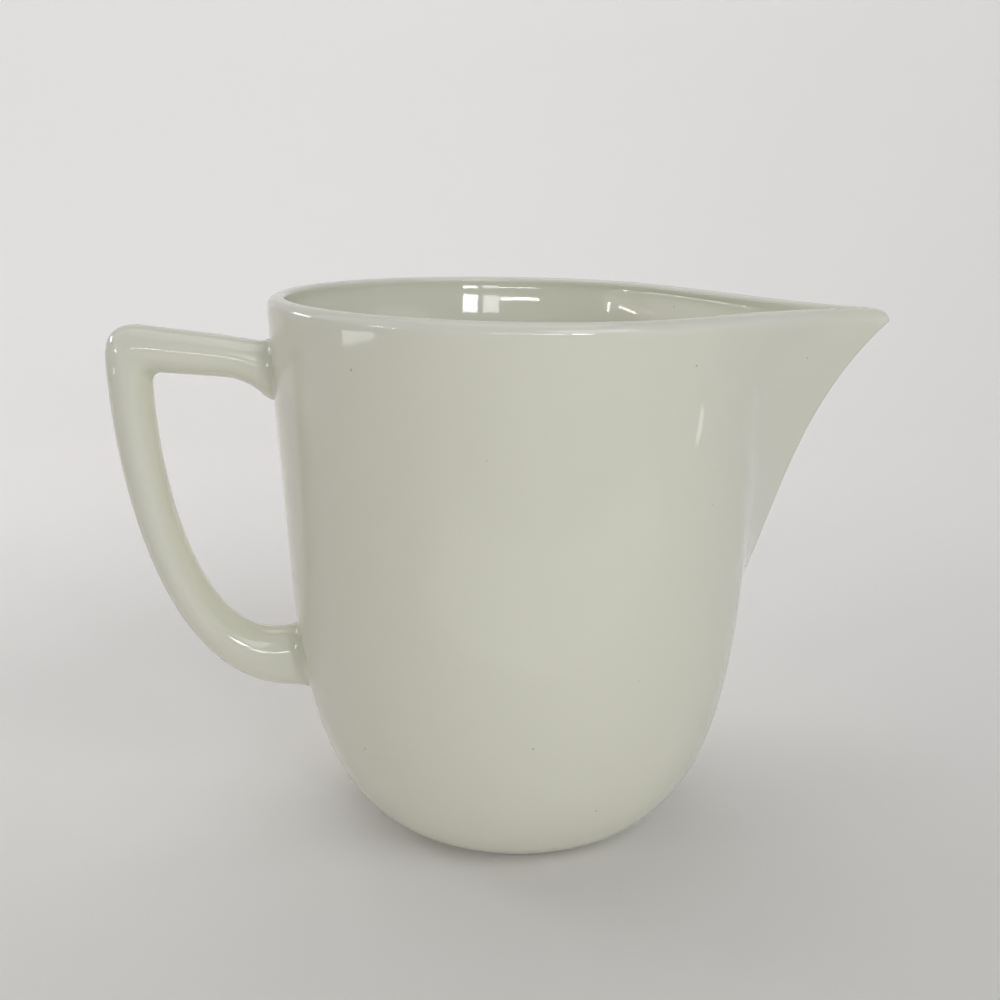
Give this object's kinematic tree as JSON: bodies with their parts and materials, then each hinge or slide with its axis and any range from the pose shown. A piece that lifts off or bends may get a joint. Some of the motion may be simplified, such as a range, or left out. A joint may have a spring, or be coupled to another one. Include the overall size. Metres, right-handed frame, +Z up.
{
  "type": "creamer jug",
  "caption": "Small glazed porcelain jug with a beak spout drawn out of its round wall, a rounded lip, a low foot ring and an angular loop handle, for pouring cream or milk.",
  "frame": {"origin": "centre of the foot ring, on the surface that the jug stands on", "axes": "+Z up along the axis of the round wall, +X towards the spout, -X towards the handle"},
  "size_m": [0.1373, 0.085, 0.0947],
  "materials": {
    "body_glaze": "glossy pale ivory glaze on cast porcelain",
    "handle_glaze": "glossy pale ivory glaze on cast porcelain",
    "joint_glaze": "fired slip under a glaze that pools in the hollow of the joint"
  },
  "bodies": {
    "root": {"jug_body": "body_glaze", "handle": "handle_glaze", "upper_slip_joint": "joint_glaze", "lower_slip_joint": "joint_glaze"}
  },
  "joints": []
}
